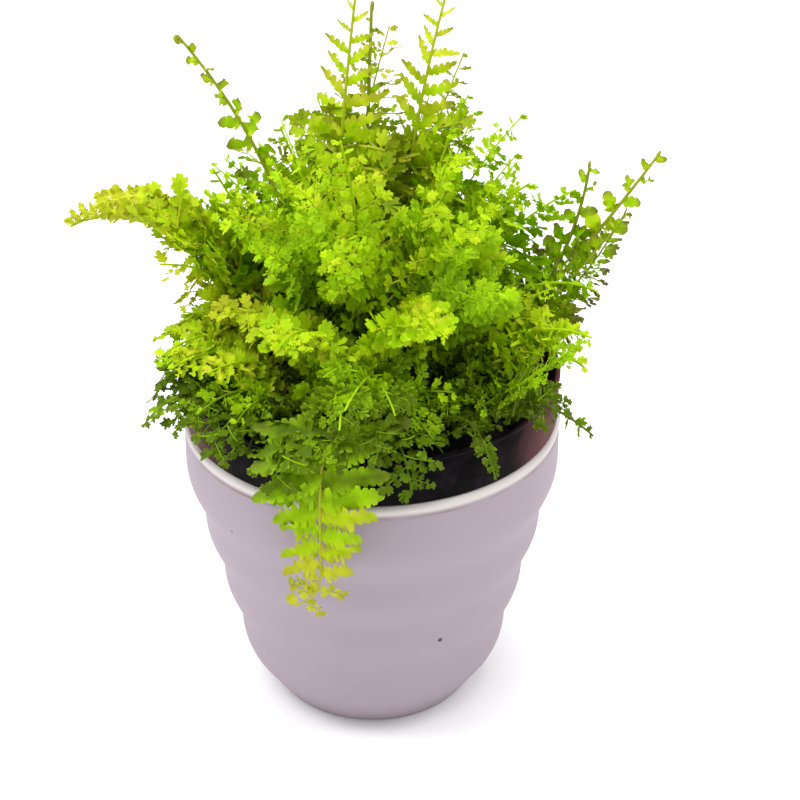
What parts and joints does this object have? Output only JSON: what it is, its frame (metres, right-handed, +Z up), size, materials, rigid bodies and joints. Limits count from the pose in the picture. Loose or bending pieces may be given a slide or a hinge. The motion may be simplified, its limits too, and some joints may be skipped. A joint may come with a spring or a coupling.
{
  "type": "potted lacy sword fern",
  "caption": "Bushy fern with arching lime-green fronds of lobed leaflets, in a nursery pot inside a round tapered white cover pot with wavy sides.",
  "frame": {"origin": "middle of the cover pot's underside, on the surface that it stands on", "axes": "+Z up along the pots' axis, -Y towards the front, where one frond hangs over the lip"},
  "size_m": [0.2325, 0.1775, 0.2892],
  "materials": {
    "white_plastic": "satin",
    "maroon_plastic": "satin",
    "potting_soil": "matte",
    "leaf_green": "satin"
  },
  "bodies": {
    "root": {"cover_pot": "white_plastic", "frond_01": "leaf_green", "frond_02": "leaf_green", "frond_03": "leaf_green", "frond_04": "leaf_green", "frond_05": "leaf_green", "frond_06": "leaf_green", "frond_07": "leaf_green", "frond_08": "leaf_green", "frond_09": "leaf_green", "frond_10": "leaf_green", "frond_11": "leaf_green", "frond_12": "leaf_green", "frond_13": "leaf_green", "frond_14": "leaf_green", "frond_15": "leaf_green", "frond_16": "leaf_green", "frond_17": "leaf_green", "frond_18": "leaf_green", "frond_19": "leaf_green", "frond_20": "leaf_green", "frond_21": "leaf_green", "frond_22": "leaf_green", "frond_23": "leaf_green", "frond_24": "leaf_green", "frond_25": "leaf_green", "frond_26": "leaf_green", "frond_27": "leaf_green", "frond_28": "leaf_green", "frond_29": "leaf_green", "frond_30": "leaf_green", "frond_31": "leaf_green", "frond_32": "leaf_green", "frond_33": "leaf_green", "frond_34": "leaf_green", "frond_35": "leaf_green", "frond_36": "leaf_green", "frond_37": "leaf_green", "frond_38": "leaf_green", "frond_39": "leaf_green", "frond_40": "leaf_green", "frond_41": "leaf_green", "frond_42": "leaf_green", "frond_43": "leaf_green", "frond_44": "leaf_green", "frond_45": "leaf_green", "frond_46": "leaf_green", "frond_47": "leaf_green", "frond_48": "leaf_green", "frond_49": "leaf_green", "frond_50": "leaf_green", "frond_51": "leaf_green", "frond_52": "leaf_green", "frond_53": "leaf_green", "frond_54": "leaf_green", "frond_55": "leaf_green", "nursery_pot": "maroon_plastic", "soil": "potting_soil"}
  },
  "joints": []
}
